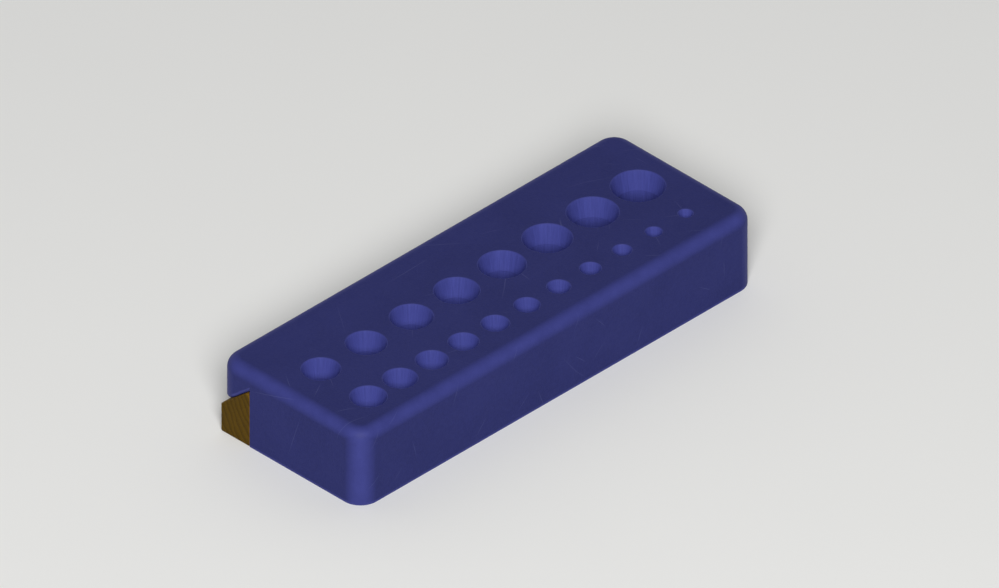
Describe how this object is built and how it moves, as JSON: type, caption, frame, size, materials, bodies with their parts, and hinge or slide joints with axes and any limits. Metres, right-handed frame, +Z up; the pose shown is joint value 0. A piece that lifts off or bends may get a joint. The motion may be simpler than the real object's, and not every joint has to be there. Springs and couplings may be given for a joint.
{
  "type": "drill bit holder",
  "caption": "Block with two rows of graded, tapered-mouth holes for twist drills, hooked over a bevelled cleat strip that is screwed to a wall.",
  "frame": {"origin": "centre of the block's underside", "axes": "+X along the rows of holes, towards the thinnest drill of the front row; +Y from the block's front to the wall; +Z up, out of the holes"},
  "size_m": [0.125, 0.0552, 0.02],
  "materials": {
    "block_plastic": "fine matte",
    "cleat_wood": "stained, low sheen",
    "screw_steel": "zinc-plated"
  },
  "bodies": {
    "cleat": {"wall_cleat": "cleat_wood", "cleat_screw_left": "screw_steel", "cleat_screw_right": "screw_steel"},
    "block": {"holder_block": "block_plastic"}
  },
  "joints": [
    {"name": "lift_off", "type": "slide", "parent": "cleat", "child": "block", "axis": [0, 0, 1], "range_m": [0, 0.02]}
  ]
}
